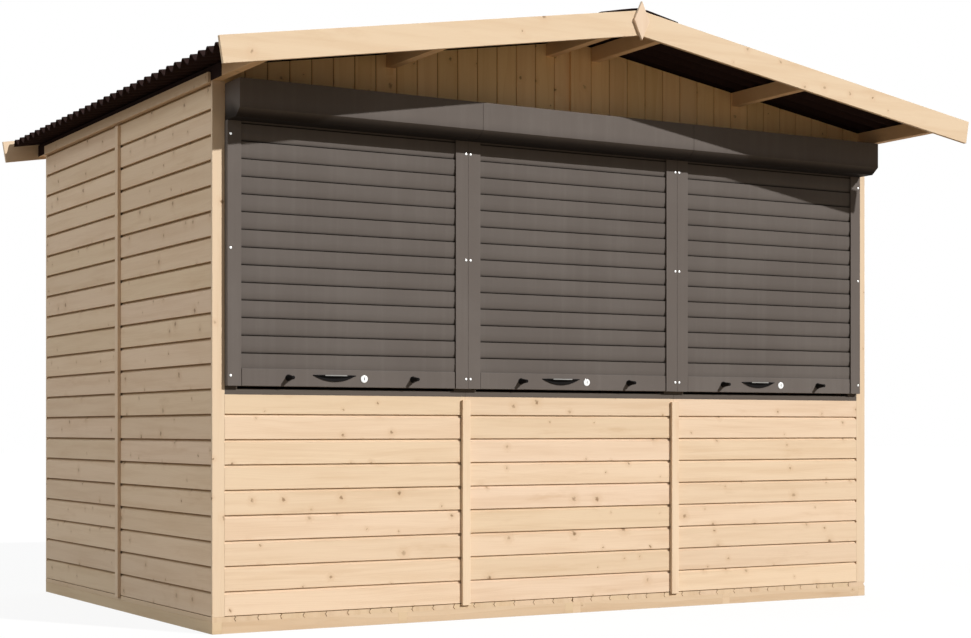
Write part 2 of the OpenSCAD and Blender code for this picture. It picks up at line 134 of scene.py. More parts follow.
class KioskColours(bpy.types.PropertyGroup):
    """Colours of the finishes."""

    wood: colour_property("Wood", "Pale wood between the growth rings", (0.749, 0.585, 0.427))
    wood_dark: colour_property("Wood rings", "Darker wood of the growth rings", (0.588, 0.409, 0.258))
    trim: colour_property("Trim", "Pale wood of strips and barge boards", (0.756, 0.597, 0.443))
    trim_dark: colour_property("Trim rings", "Growth rings of strips and barge boards", (0.638, 0.450, 0.295))
    # Painted light: the front gable and its strips get a brighter, warmer copy of the board wood, standing in
    # for warm light in the shade under the roof
    gable: colour_property("Gable", "Pale wood of the sheltered gable boards", (0.985, 0.70, 0.39))
    gable_dark: colour_property("Gable rings", "Growth rings of the gable boards", (0.84, 0.54, 0.26))
    floor: colour_property("Floor", "Pale wood of the floor boards and bearers", (0.685, 0.528, 0.366))
    floor_dark: colour_property("Floor rings", "Growth rings of the floor boards", (0.530, 0.365, 0.225))
    # Partly painted light: the sawn wood's own colour is made brighter and warmer, standing in for light in
    # the shade under the roof, where the purlins are seen
    sawn: colour_property("Sawn wood", "Pale wood of the purlins and the frame", (0.90, 0.63, 0.385))
    sawn_dark: colour_property("Sawn rings", "Growth rings of the purlins and the frame", (0.60, 0.38, 0.20))
    knot: colour_property("Knot", "Heart of a knot", (0.25, 0.155, 0.085))
    # Joint colours: painted shade, multiplied in towards the bottom of joints and hollows
    grime: colour_property("Grime", "Tint of the joints between boards", (0.40, 0.34, 0.25))
    gable_grime: colour_property("Gable grime", "Tint of the gable's joints", (0.22, 0.15, 0.08))
    # Painted shade in the slat joints and on the boxes' undersides
    coat_grime: colour_property("Coat joint shade", "Tint of slat joints and box undersides", (0.18, 0.17, 0.16))
    shutter: colour_property("Shutter", "Coating of the guides, boxes and bars", (0.130, 0.112, 0.102))
    slat: colour_property("Slats", "Coating of the slats", (0.120, 0.104, 0.095))
    sill: colour_property("Sill", "Stain of the counter sill", (0.119, 0.100, 0.084))
    sill_dark: colour_property("Sill rings", "Growth rings of the counter sill", (0.0833, 0.070, 0.0588))
    bitumen: colour_property("Roofing", "Roof sheets", (0.021, 0.012, 0.010))
    plastic: colour_property("Black plastic", "Pulls, stubs and door knob", (0.007, 0.006, 0.006))
    steel: colour_property("Steel", "Locks and screw plugs", (0.86, 0.86, 0.84))


class KioskStage(bpy.types.PropertyGroup):
    """Camera and light."""

    lens: number_property("Lens", "Focal length in millimetres", 67.66)
    turn: number_property("Turn", "Turn of the camera to the right in degrees", 30.24)
    eye: FloatVectorProperty(
        name="Eye", description="Place of the camera", default=(-4.843, -8.687, 0.893), size=3, unit="LENGTH"
    )
    rise: number_property("Rise", "Upward shift of the picture", 0.1139)
    sun: number_property("Sun", "Strength of the main light", 3.7)
    fill: number_property("Fill", "Strength of the broad light on the left", 1.02)
    rear: number_property("Rear", "Strength of the broad light from behind", 1.2)
    sky: number_property("Sky", "Strength of the light from all around", 0.29)


PROPERTY_GROUPS = {
    "kiosk_timber": KioskTimberSizes,
    "kiosk_shutter": KioskShutterSizes,
    "kiosk_colour": KioskColours,
    "kiosk_stage": KioskStage,
}


# Selecting and editing

def link(obj):
    """Puts a new object in the scene."""
    bpy.context.scene.collection.objects.link(obj)
    return obj


def select_only(*objects):
    bpy.ops.object.select_all(action="DESELECT")
    for obj in objects:
        obj.select_set(True)
    bpy.context.view_layer.objects.active = objects[0]


@contextmanager
def editing(obj):
    """Opens one object in edit mode and leaves it in object mode."""
    select_only(obj)
    bpy.ops.object.mode_set(mode="EDIT")
    bpy.ops.mesh.select_all(action="SELECT")
    yield obj
    bpy.ops.object.mode_set(mode="OBJECT")


def pick(obj, kind, test):
    """Selects the vertices, edges or faces of an object in edit mode that pass a test."""
    bpy.ops.mesh.select_mode(type=kind)
    bpy.ops.mesh.select_all(action="DESELECT")
    shape = bmesh.from_edit_mesh(obj.data)
    items = {"VERT": shape.verts, "EDGE": shape.edges, "FACE": shape.faces}[kind]
    for item in items:
        if test(item):
            item.select_set(True)
    bmesh.update_edit_mesh(obj.data)


def cut(point, normal, keep="both"):
    """Cuts the open mesh by a plane and keeps both sides, or the side that the normal points away from."""
    bpy.ops.mesh.select_all(action="SELECT")
    inner = keep == "inner"
    bpy.ops.mesh.bisect(
        plane_co=point, plane_no=normal, use_fill=inner, clear_outer=inner, threshold=NEAR / 2
    )


def block(name, low, high):
    """A box between two corners, with its place in its mesh."""
    low, high = Vector(low), Vector(high)
    bpy.ops.object.select_all(action="DESELECT")
    bpy.ops.mesh.primitive_cube_add(size=1.0, location=(low + high) / 2, scale=high - low)
    obj = bpy.context.active_object
    bpy.ops.object.transform_apply()
    obj.name = name
    return obj


def node_copy(name, node):
    """A copy of a CAD node's mesh with its triangles merged into whole faces."""
    obj = link(bpy.data.objects.new(name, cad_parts[node].data.copy()))
    obj.data.materials.clear()
    with editing(obj):
        bpy.ops.mesh.customdata_custom_splitnormals_clear()
        bpy.ops.mesh.remove_doubles(threshold=NEAR)
        bpy.ops.mesh.dissolve_limited(angle_limit=MERGE_ANGLE)
        bpy.ops.mesh.faces_shade_flat()
    return obj


def smooth(obj, angle):
    """Shades a piece smooth, apart from edges sharper than an angle."""
    select_only(obj)
    bpy.ops.object.shade_smooth_by_angle(angle=angle)


def ease(obj, width, segments=2):
    """Rounds the sharp edges of a piece and keeps its flat faces flat in the light."""
    select_only(obj)
    modifier = obj.modifiers.new("ease", "BEVEL")
    modifier.width = width
    modifier.segments = segments
    modifier.limit_method = "ANGLE"
    modifier.angle_limit = CORNER_ANGLE
    bpy.ops.object.modifier_apply(modifier="ease")
    smooth(obj, SMOOTH_ANGLE)
    weigh = obj.modifiers.new("weigh", "WEIGHTED_NORMAL")
    weigh.keep_sharp = True
    bpy.ops.object.modifier_apply(modifier="weigh")
    return obj


def paint(obj, material, test):
    """Gives a second material to the faces of a piece that pass a test."""
    obj.data.materials.append(material)
    for face in obj.data.polygons:
        if test(face):
            face.material_index = 1


def copy_to(model, matrix):
    """A copy of a model with its own mesh, at another place."""
    obj = link(model.copy())
    obj.data = model.data.copy()
    obj.matrix_world = matrix
    return obj


def join(name, objects):
    """Joins pieces into one object whose place is in its mesh."""
    select_only(*objects)
    if len(objects) > 1:
        bpy.ops.object.join()
    bpy.ops.object.transform_apply()
    obj = bpy.context.active_object
    obj.name = name
    return obj


def remove(obj):
    bpy.data.objects.remove(obj, do_unlink=True)


def trim_to(piece, axis, low, high):
    """Cuts a piece off at both ends along an axis."""
    with editing(piece):
        cut(axis * high, axis, keep="inner")
        cut(axis * low, -axis, keep="inner")


def frame_matrix(along, inward, origin):
    """Turns a board's own directions, along, inward and up its width, to the kiosk's."""
    across = along.cross(inward)
    matrix = Matrix((along, inward, across)).transposed().to_4x4()
    matrix.translation = origin
    return matrix


def groove(obj, across, at, inward, face_at, half_w, depth):
    """Presses a V joint into a face of the mesh that is open in edit mode."""
    for place in (at - half_w, at, at + half_w):
        cut(across * place, across)
    pick(
        obj,
        "VERT",
        lambda v: abs(v.co.dot(across) - at) < NEAR and abs(v.co.dot(inward) - face_at) < NEAR,
    )
    bpy.ops.transform.translate(value=inward * depth)


def mark_grain(obj, along, across, board=None, first=0.0):
    """Stores where each point lies in its board: along the grain, across it and deep in it.

    Boards of a given width get a shift along the grain and a tone of their own.
    """
    inward = along.cross(across)
    mesh = obj.data
    mesh.attributes.new("grain", "FLOAT_VECTOR", "POINT")
    mesh.attributes.new("tone", "FLOAT", "POINT")
    grain, tone = mesh.attributes["grain"], mesh.attributes["tone"]
    for i, vertex in enumerate(mesh.vertices):
        width_at = vertex.co.dot(across) - first
        index = math.floor(width_at / board + NEAR) if board else 0
        dice = random.Random(f"{obj.name} {index}")
        shift, own_tone = dice.uniform(0, 40), dice.random()
        place = width_at - index * board if board else width_at
        grain.data[i].vector = (vertex.co.dot(along) + shift, place, vertex.co.dot(inward))
        tone.data[i].value = own_tone


def mark_joint(obj, inward, face_at, depth):
    """Stores how deep each point lies in a joint, 0 on the face and 1 at the joint's bottom; the depth sets
    painted shade there.
    """
    mesh = obj.data
    mesh.attributes.new("joint", "FLOAT", "POINT")
    joint = mesh.attributes["joint"]
    for i, vertex in enumerate(mesh.vertices):
        deep = (vertex.co.dot(inward) - face_at) / depth
        joint.data[i].value = deep if 0 < deep < 1.01 else 0.0


def shift_grain(obj, dice):
    """Gives a copied board its own stretch of wood and its own tone."""
    shift, tone = dice.uniform(0, 40), dice.random()
    for item in obj.data.attributes["grain"].data:
        item.vector = item.vector + Vector((shift, 0, 0))
    for item in obj.data.attributes["tone"].data:
        item.value = tone


def lay_boards(node, model, places):
    """Copies of a board at several places, each with its own wood, joined into one piece."""
    dice = random.Random(node)
    boards = []
    for place in places:
        board = copy_to(model, place)
        shift_grain(board, dice)
        boards.append(board)
    remove(model)
    return join(node + "_boards", boards)


def hand_over(obj, slot, *nodes):
    """Attaches a finished piece to its body and hides the nodes that it stands for. The slot argument is not
    used.
    """
    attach(obj, BODY)
    if nodes:
        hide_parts(*nodes)
    return obj


# Shader building

def put(tree, kind, inputs=None, **settings):
    """Adds a shader node, sets its options and fills its inputs with values or links."""
    node = tree.nodes.new("ShaderNode" + kind)
    for key, value in settings.items():
        setattr(node, key, value)
    for key, value in (inputs or {}).items():
        if isinstance(value, bpy.types.NodeSocket):
            tree.links.new(value, node.inputs[key])
        else:
            node.inputs[key].default_value = value
    return node


def calc(tree, operation, *values, clamp=False):
    node = put(tree, "Math", dict(enumerate(values)), operation=operation, use_clamp=clamp)
    return node.outputs[0]


def times(tree, first, second):
    return calc(tree, "MULTIPLY", first, second)


def linear(tree, value, slope, base):
    """A value times a slope, plus a base."""
    return calc(tree, "MULTIPLY_ADD", value, slope, base)


def fade(tree, value, start, end):
    """0 to 1 as a value goes smoothly from start to end."""
    inputs = {"Value": value, "From Min": start, "From Max": end}
    node = put(tree, "MapRange", inputs, interpolation_type="SMOOTHSTEP")
    return node.outputs["Result"]


def blend(tree, factor, first, second, mode="MIX"):
    inputs = {0: factor, 6: first, 7: second}
    return put(tree, "Mix", inputs, data_type="RGBA", blend_type=mode).outputs[2]


def noise(tree, vector, scale, detail=2.0, roughness=0.5):
    inputs = {"Vector": vector, "Scale": scale, "Detail": detail, "Roughness": roughness}
    return put(tree, "TexNoise", inputs, noise_dimensions="3D").outputs["Fac"]


def stretched(tree, along, across, deep):
    return put(tree, "CombineXYZ", {0: along, 1: across, 2: deep}).outputs[0]


def drawn_out(tree, part, along, across, deep):
    """A place with two of its directions scaled, so that a pattern is drawn out along the other."""
    scaled = [times(tree, part[i], scale) for i, scale in enumerate((along, across))]
    return stretched(tree, *scaled, deep)


def attribute(tree, name, output="Fac"):
    return put(tree, "Attribute", attribute_name=name).outputs[output]


def paint_joint_shade(tree, joint, colour, grime):
    """Painted shade in the depth of a joint, darker towards its bottom."""
    start, full = 0.35, 0.95
    return blend(tree, fade(tree, joint, start, full), colour, grime, "MULTIPLY")


def looked_at(tree):
    """1 for rays that show a surface itself: from the camera, mirrored or seen through glass."""
    path = put(tree, "LightPath").outputs
    passed_on = calc(tree, "MAXIMUM", path["Is Glossy Ray"], path["Is Transmission Ray"])
    return calc(tree, "MAXIMUM", path["Is Camera Ray"], passed_on)


FLOAT = "NodeSocketFloat"
COLOUR = "NodeSocketColor"
VECTOR = "NodeSocketVector"


def finish_group(name, sockets):
    """An empty shader group for a finish; returns the tree, its inputs and its outputs."""
    tree = bpy.data.node_groups.new(name, "ShaderNodeTree")
    for kind, labels in sockets.items():
        for label in labels:
            tree.interface.new_socket(label, in_out="INPUT", socket_type=kind)
    for label, kind in (("Colour", COLOUR), ("Roughness", FLOAT), ("Height", FLOAT)):
        tree.interface.new_socket(label, in_out="OUTPUT", socket_type=kind)
    return tree, tree.nodes.new("NodeGroupInput").outputs, tree.nodes.new("NodeGroupOutput").inputs


def knot_masks(tree, given, part):
    """At most one uneven knot in each cell: its heart, the dark wood round it and its own dice."""
    uneven = noise(tree, given["Grain"], 75.0, 2.0)
    reach = 0.011
    shift = linear(tree, uneven, 2 * reach, -reach)
    knot_u = calc(tree, "SUBTRACT", part[0], shift)
    knot_v = calc(tree, "ADD", linear(tree, given["Tone"], 13.0, part[1]), shift)
    cell_size = 0.145
    cells = put(
        tree,
        "TexVoronoi",
        {"Vector": stretched(tree, knot_u, knot_v, 0.0), "Scale": 1 / cell_size, "Randomness": 0.9},
        voronoi_dimensions="2D",
        feature="F1",
    )
    dice = put(tree, "SeparateColor", {0: cells.outputs["Color"]}).outputs
    away = times(tree, cells.outputs["Distance"], cell_size)
    has_knot = calc(tree, "LESS_THAN", dice[0], given["Knots"])
    least, spread = 0.005, 0.011
    size = linear(tree, calc(tree, "POWER", dice[1], 1.6), spread, least)

    def mask(outer, inner):
        ends = [times(tree, size, share) for share in (outer, inner)]
        return times(tree, fade(tree, away, *ends), has_knot)

    return mask(1.0, 0.25), mask(3.4, 0.7), dice[2]


def ring_mask(tree, part, tone, halo, far):
    """Late wood of the growth rings round a pith that wanders behind the board, bent by the knots."""
    slow = noise(tree, drawn_out(tree, part, 0.7, 1.6, far), 1.6, 2.0)
    wander = linear(tree, slow, 0.13, -0.065)
    pith_v = linear(tree, tone, 0.12, -0.005)
    off_v = calc(tree, "ADD", calc(tree, "SUBTRACT", part[1], pith_v), wander)
    off_w = calc(tree, "ADD", linear(tree, tone, 0.05, 0.03), part[2])
    squares = [calc(tree, "POWER", off, 2.0) for off in (off_v, off_w)]
    radius = calc(tree, "SQRT", calc(tree, "ADD", *squares))
    ring_step = 0.0052
    rings = calc(tree, "ADD", calc(tree, "DIVIDE", radius, ring_step), times(tree, halo, 1.6))
    return calc(tree, "POWER", calc(tree, "FRACT", rings), 2.6)


def board_tint(tree, tone):
    """Each board's own lightness and hue, as a colour to multiply by."""
    lift = linear(tree, tone, 0.08, 0.945)
    hue = calc(tree, "FRACT", times(tree, tone, 7.3))
    green = times(tree, lift, linear(tree, hue, 0.012, 0.994))
    cool = linear(tree, hue, -0.04, 1.02)
    blue = times(tree, calc(tree, "POWER", lift, 1.4), cool)
    return put(tree, "CombineColor", {0: lift, 1: green, 2: blue}).outputs[0]


def softwood_group():
    """Flat-sawn softwood: growth rings, streaks, patches, fibres and knots, with painted shade in the joints.
    """
    name = "softwood"
    if name in bpy.data.node_groups:
        return bpy.data.node_groups[name]
    sockets = {
        VECTOR: ("Grain",),
        COLOUR: ("Pale", "Dark", "Knot", "Grime"),
        FLOAT: ("Tone", "Knots", "Rings", "Joint"),
    }
    tree, given, out = finish_group(name, sockets)
    tone = given["Tone"]
    part = put(tree, "SeparateXYZ", {0: given["Grain"]}).outputs
    far = times(tree, tone, 61.0)
    core, halo, knot_dice = knot_masks(tree, given, part)
    late = ring_mask(tree, part, tone, halo, far)
    streak = fade(tree, noise(tree, drawn_out(tree, part, 1.5, 24.0, far), 1.0, 3.0, 0.6), 0.38, 0.72)
    patch = fade(tree, noise(tree, drawn_out(tree, part, 3.5, 14.0, far), 1.0, 4.0, 0.65), 0.56, 0.78)
    fibre = noise(tree, drawn_out(tree, part, 22.0, 620.0, part[2]), 1.0, 2.0)

    # Colour: dark shares of the patterns, the board's tint, then knots and painted shade in the joints
    ring_share = times(tree, late, given["Rings"])
    streak_share = linear(tree, streak, 0.34, times(tree, fibre, 0.10))
    patch_share = linear(tree, patch, 0.30, ring_share)
    dark_share = calc(tree, "ADD", patch_share, streak_share, clamp=True)
    colour = blend(tree, dark_share, given["Pale"], given["Dark"])
    colour = blend(tree, 1.0, colour, board_tint(tree, tone), "MULTIPLY")
    colour = blend(tree, times(tree, halo, 0.38), colour, given["Dark"])
    knot_share = times(tree, core, linear(tree, knot_dice, 0.55, 0.40))
    colour = blend(tree, knot_share, colour, given["Knot"])
    tree.links.new(paint_joint_shade(tree, given["Joint"], colour, given["Grime"]), out["Colour"])

    # Knots are smoother than the fibres and lie lower than the rings
    rough = linear(tree, fibre, 0.16, 0.52)
    tree.links.new(linear(tree, core, -0.12, rough), out["Roughness"])
    relief = linear(tree, late, 0.5, times(tree, fibre, 0.5))
    tree.links.new(linear(tree, core, -0.6, relief), out["Height"])
    return tree


def coating_group():
    """Coated surface: soft patches of dust, a fine pebbled skin and faint run marks, with painted shade in
    joints and under the boxes.
    """
    name = "coating"
    if name in bpy.data.node_groups:
        return bpy.data.node_groups[name]
    sockets = {
        VECTOR: ("Place",),
        COLOUR: ("Coat", "Dust", "Grime"),
        FLOAT: ("Dusty", "Rough", "Pebble", "Joint"),
    }
    tree, given, out = finish_group(name, sockets)
    place = given["Place"]
    patches = fade(tree, noise(tree, place, 2.3, 4.0, 0.6), 0.35, 0.75)
    part = put(tree, "SeparateXYZ", {0: place}).outputs
    runs = fade(tree, noise(tree, drawn_out(tree, part, 30.0, 30.0, part[2]), 1.0, 2.0), 0.45, 0.8)
    fine = noise(tree, place, times(tree, given["Pebble"], 900.0), 1.0)
    grit = noise(tree, place, 160.0, 3.0, 0.7)
    fine_dust = linear(tree, runs, 0.3, times(tree, grit, 0.2))
    dust = linear(tree, patches, 0.5, fine_dust)
    share = times(tree, dust, given["Dusty"])
    colour = blend(tree, share, given["Coat"], given["Dust"])
    tree.links.new(paint_joint_shade(tree, given["Joint"], colour, given["Grime"]), out["Colour"])
    rough = linear(tree, grit, 0.12, given["Rough"])
    tree.links.new(linear(tree, share, 0.3, rough), out["Roughness"])
    tree.links.new(linear(tree, grit, 0.3, times(tree, fine, 0.7)), out["Height"])
    return tree


def new_material(name):
    """A material with only a Principled BSDF; returns it with its tree and the shader."""
    material = bpy.data.materials.new(name)
    material.use_nodes = True
    tree = material.node_tree
    shader = next(n for n in tree.nodes if n.type == "BSDF_PRINCIPLED")
    return material, tree, shader


def use_finish(tree, shader, finish, relief):
    """Links a finish group's colour, roughness and height to the shader."""
    tree.links.new(finish.outputs["Colour"], shader.inputs["Base Color"])
    tree.links.new(finish.outputs["Roughness"], shader.inputs["Roughness"])
    inputs = {"Height": finish.outputs["Height"], "Strength": 0.5, "Distance": relief}
    bump = put(tree, "Bump", inputs)
    tree.links.new(bump.outputs["Normal"], shader.inputs["Normal"])


def opaque(colour):
    return (*colour, 1.0)


def palette():
    return bpy.context.scene.kiosk_colour


def wood_material(name, wood, knots, rings):
    """Softwood in the palette's colours of one wood, with a share of knots and a strength of its rings."""
    if name in bpy.data.materials:
        return bpy.data.materials[name]
    colours = palette()
    material, tree, shader = new_material(name)
    inputs = {
        "Grain": attribute(tree, "grain", "Vector"),
        "Tone": attribute(tree, "tone"),
        "Joint": attribute(tree, "joint"),
        "Pale": opaque(getattr(colours, wood)),
        "Dark": opaque(getattr(colours, wood + "_dark")),
        "Grime": opaque(getattr(colours, wood + "_grime", colours.grime)),
        "Knot": opaque(colours.knot),
        "Knots": knots,
        "Rings": rings,
    }
    finish = put(tree, "Group", inputs, node_tree=softwood_group())
    use_finish(tree, shader, finish, relief=0.0006)
    shader.inputs["Specular IOR Level"].default_value = 0.08
    return material


def board_wood():
    return wood_material("planed_boards", "wood", knots=0.56, rings=0.14)


def trim_wood():
    return wood_material("planed_trim", "trim", knots=0.55, rings=0.16)


# Painted light: board wood made brighter and warmer for the front gable, which lies in the shade under the
# roof
def shade_brightened_wood():
    return wood_material("sheltered_boards", "gable", knots=0.55, rings=0.34)


def floor_wood():
    return wood_material("floor_boards", "floor", knots=0.20, rings=0.25)


def sawn_wood():
    return wood_material("sawn_timber", "sawn", knots=0.25, rings=0.30)


def sill_stain():
    return wood_material("sill_stain", "sill", knots=0.1, rings=0.4)


def coated_material(name, coat, dust, dusty, rough, pebble, relief, specular, metallic=0.0):
    """Coated surface with a share of dust, a base roughness, a size of its pebbles and their relief."""
    if name in bpy.data.materials:
        return bpy.data.materials[name]
    material, tree, shader = new_material(name)
    inputs = {
        "Place": put(tree, "TexCoord").outputs["Object"],
        "Joint": attribute(tree, "joint"),
        "Coat": opaque(coat),
        "Dust": opaque(dust),
        "Grime": opaque(palette().coat_grime),
        "Dusty": dusty,
        "Rough": rough,
        "Pebble": pebble,
    }
    finish = put(tree, "Group", inputs, node_tree=coating_group())
    use_finish(tree, shader, finish, relief)
    shader.inputs["Specular IOR Level"].default_value = specular
    shader.inputs["Metallic"].default_value = metallic
    return material


def satin_coat(name, coat, dust):
    return coated_material(
        name, coat, dust, dusty=0.25, rough=0.50, pebble=1.0, relief=0.0002, specular=0.02
    )


def shutter_coat():
    return satin_coat("shutter_coat", palette().shutter, (0.25, 0.23, 0.215))


def slat_coat():
    return satin_coat("slat_coat", palette().slat, (0.23, 0.21, 0.195))


def roofing():
    coat, dust = palette().bitumen, (0.045, 0.026, 0.027)
    return coated_material(
        "roofing", coat, dust, dusty=0.5, rough=0.70, pebble=0.35, relief=0.0012, specular=0.02
    )


def black_plastic():
    coat, dust = palette().plastic, (0.016, 0.015, 0.014)
    return coated_material(
        "black_moulding", coat, dust, dusty=0.25, rough=0.35, pebble=0.8, relief=0.0001, specular=0.05
    )


# Painted highlight for the pull handles' lip: pale grey with patches of steel colour
def worn_edge():
    highlight_shine = palette().steel
    painted_highlight = tuple(0.30 * c for c in highlight_shine)
    return coated_material(
        "worn_edge", painted_highlight, highlight_shine, dusty=0.2, rough=0.40, pebble=1.0, relief=0.00005, specular=0.2
    )


def bright_steel():
    coat, dust = palette().steel, (0.70, 0.69, 0.66)
    return coated_material(
        "bright_steel", coat, dust, dusty=0.3, rough=0.22, pebble=1.2, relief=0.00005, specular=0.5,
        metallic=1.0,
    )


# Timber pieces

def shiplap_board(name, length, grime, sizes):
    """Board along X with its face towards -Y: a rounded lower lip and a hollow along the upper edge.

    Joint shade is the share of a full joint's painted shade in the hollow.
    """
    board = block(name, (0, 0, 0), (length, sizes.board_t, sizes.cover))
    steps = 4
    turns = [math.pi / 2 * i / steps for i in range(steps + 1)]
    hollow = [(sizes.cover - sizes.cove_h * math.cos(t), sizes.cove_d * math.sin(t)) for t in turns]
    ledge = sizes.cove_h / 12
    hollow[1] = (hollow[0][0] + ledge, hollow[1][1])
    with editing(board):
        for level, _ in hollow[:-1]:
            cut((0, 0, level), Z)
        for level, depth in hollow[1:]:
            pick(board, "VERT", lambda v: abs(v.co.y) < NEAR and abs(v.co.z - level) < NEAR)
            bpy.ops.transform.translate(value=(0, depth, 0))
        pick(board, "EDGE", lambda e: all(abs(v.co.y) < NEAR and abs(v.co.z) < NEAR for v in e.verts))
        bpy.ops.mesh.bevel(offset=sizes.lip, segments=2)
    mark_grain(board, X, Z)
    # The joint depth sets painted shade in the hollow under the next board's lip
    mark_joint(board, Y, 0.0, sizes.cove_d / grime)
    return board


def panel_frame(node, inward, outer, sizes):
    """Studs and rails of a wall panel: the node's copy without its boards."""
    studs = node_copy(node + "_studs", node)
    plane = inward * (outer + sizes.board_t + NEAR)
    with editing(studs):
        bpy.ops.mesh.bisect(plane_co=plane, plane_no=inward, clear_inner=True, threshold=NEAR / 2)
    mark_grain(studs, Z, inward)
    studs.data.materials.append(sawn_wood())
    return studs


def undercut(piece, inward, outer, foot, sizes):
    """Sets the lowest board's foot back, so that a shadow line runs along the floor, and paints shade on the
    set-back foot.
    """
    with editing(piece):
        cut((0, 0, foot + sizes.foot_gap), Z)
        pick(
            piece,
            "VERT",
            lambda v: v.co.z < foot + sizes.foot_gap - NEAR and v.co.dot(inward) < outer + sizes.lip + NEAR,
        )
        bpy.ops.transform.translate(value=inward * sizes.foot_d)
    # Painted shade: the set-back foot gets the full joint darkening
    joint = piece.data.attributes["joint"]
    for i, vertex in enumerate(piece.data.vertices):
        if vertex.co.z < foot + sizes.foot_gap - NEAR:
            joint.data[i].value = 1.0


def boarded_panel(node, side, sizes):
    """Wall panel with its boards one over the other, and the frame behind them."""
    inward = INWARD[side]
    along = inward.cross(Z)
    low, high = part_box(node)
    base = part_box("left_wall_front")[0].z
    facing = along + inward
    start = Vector(low[i] if facing[i] > 0 else high[i] for i in range(3))
    grime = sizes.front_grime if side == "front" else 1.0
    model = shiplap_board(node + "_board", abs((high - low).dot(along)), grime, sizes)
    model.data.materials.append(board_wood())
    first = math.floor((low.z - base) / sizes.cover + NEAR)
    last = math.ceil((high.z - base) / sizes.cover - NEAR)
    start.z = base
    starts = [start + Z * (row * sizes.cover) for row in range(first, last)]
    piece = lay_boards(node, model, [frame_matrix(along, inward, place) for place in starts])
    trim_to(piece, Z, low.z, high.z)
    outer = start.dot(inward)
    if low.z < base + NEAR:
        undercut(piece, inward, outer, low.z, sizes)
    return join(node + "_boards", [piece, panel_frame(node, inward, outer, sizes)])


class KIOSK_OT_wall_boards(bpy.types.Operator):
    """Boards on the front, side and back walls, with the studs behind them"""

    bl_idname = "kiosk.wall_boards"
    bl_label = "Wall boards"

    def execute(self, context):
        for node, side in WALL_PANELS.items():
            piece = boarded_panel(node, side, context.scene.kiosk_timber)
            hand_over(piece, "board_wood", node)
        return {"FINISHED"}


def upright_boards(node, inward, face_at, board, material, sizes):
    """A node's copy with V joints between upright boards on its outer face."""
    low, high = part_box(node)
    piece = node_copy(node + "_boards", node)
    count = math.floor(max(-low.x, high.x) / board)
    with editing(piece):
        for i in range(-count, count + 1):
            at = i * board
            if i != 0 and low.x + sizes.groove_w < at < high.x - sizes.groove_w:
                groove(piece, X, at, inward, face_at, sizes.groove_w, sizes.groove_d)
        bpy.ops.mesh.select_all(action="SELECT")
        bpy.ops.mesh.normals_make_consistent(inside=False)
    mark_grain(piece, Z, X, board)
    # The joint depth sets painted shade in the V joints
    mark_joint(piece, inward, face_at, sizes.groove_d)
    piece.data.materials.append(material)
    return piece


class KIOSK_OT_gable_boards(bpy.types.Operator):
    """Upright boards of the front and back gables"""

    bl_idname = "kiosk.gable_boards"
    bl_label = "Gable boards"

    def execute(self, context):
        sizes = context.scene.kiosk_timber
        for side in ("front", "back"):
            node, inward = side + "_gable", INWARD[side]
            low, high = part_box(node)
            face_at = min(low.dot(inward), high.dot(inward))
            # Painted light: the front gable gets the brighter, warmer wood, the back gable the plain board
            # wood
            material = shade_brightened_wood() if side == "front" else board_wood()
            piece = upright_boards(node, inward, face_at, sizes.gable_board, material, sizes)
            hand_over(piece, "board_wood", node)
        return {"FINISHED"}


class KIOSK_OT_back_door(bpy.types.Operator):
    """Upright boards of the back door, and its knob"""

    bl_idname = "kiosk.back_door"
    bl_label = "Back door"

    def execute(self, context):
        sizes = context.scene.kiosk_timber
        outer = -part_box("back_door")[1].y
        door = upright_boards("back_door", INWARD["back"], outer, sizes.door_board, board_wood(), sizes)
        hand_over(door, "board_wood", "back_door")
        knob = ease(node_copy("door_knob", "back_door_knob"), context.scene.kiosk_shutter.fold, 3)
        knob.data.materials.append(black_plastic())
        hand_over(knob, "black_plastic", "back_door_knob")
        return {"FINISHED"}


class KIOSK_OT_floor(bpy.types.Operator):
    """Tongued floor boards from front to back, on bearers and rails"""

    bl_idname = "kiosk.floor"
    bl_label = "Floor"

    def floor_board(self, name, length, thick, sizes):
        """Board along X with its face towards -Y and a tongue half way through its thickness."""
        board = block(name, (0, 0, 0), (length, thick, sizes.floor_board - sizes.floor_gap))
        with editing(board):
            cut((0, thick / 2, 0), Y)
            pick(board, "VERT", lambda v: abs(v.co.y - thick / 2) < NEAR)
            bpy.ops.transform.translate(value=(0, 0, sizes.tongue))
        mark_grain(board, X, Z)
        board.data.materials.append(floor_wood())
        return board

    def execute(self, context):
        sizes = context.scene.kiosk_timber
        for node in ("floor_left", "floor_right"):
            low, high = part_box(node)
            model = self.floor_board(node + "_board", high.y - low.y, high.z - low.z, sizes)
            first = Vector((high.x - sizes.floor_gap / 2, low.y, high.z))
            count = round((high.x - low.x) / sizes.floor_board)
            starts = [first - X * (i * sizes.floor_board) for i in range(count)]
            piece = lay_boards(node, model, [frame_matrix(Y, -Z, place) for place in starts])
            trim_to(piece, X, low.x, high.x)
            hand_over(piece, "floor_wood", node)
        for node, along in (("floor_bearers_left", Y), ("floor_bearers_right", Y), ("floor_rails", X)):
            timber_copy(node, along, Z, floor_wood(), "floor_wood", sizes.arris / 2)
        return {"FINISHED"}


def timber_copy(node, along, across, material, slot, arris):
    """A node's copy with eased edges and its grain along the timber."""
    piece = ease(node_copy(node + "_timber", node), arris)
    mark_grain(piece, along, across)
    piece.data.materials.append(material)
    return hand_over(piece, slot, node)


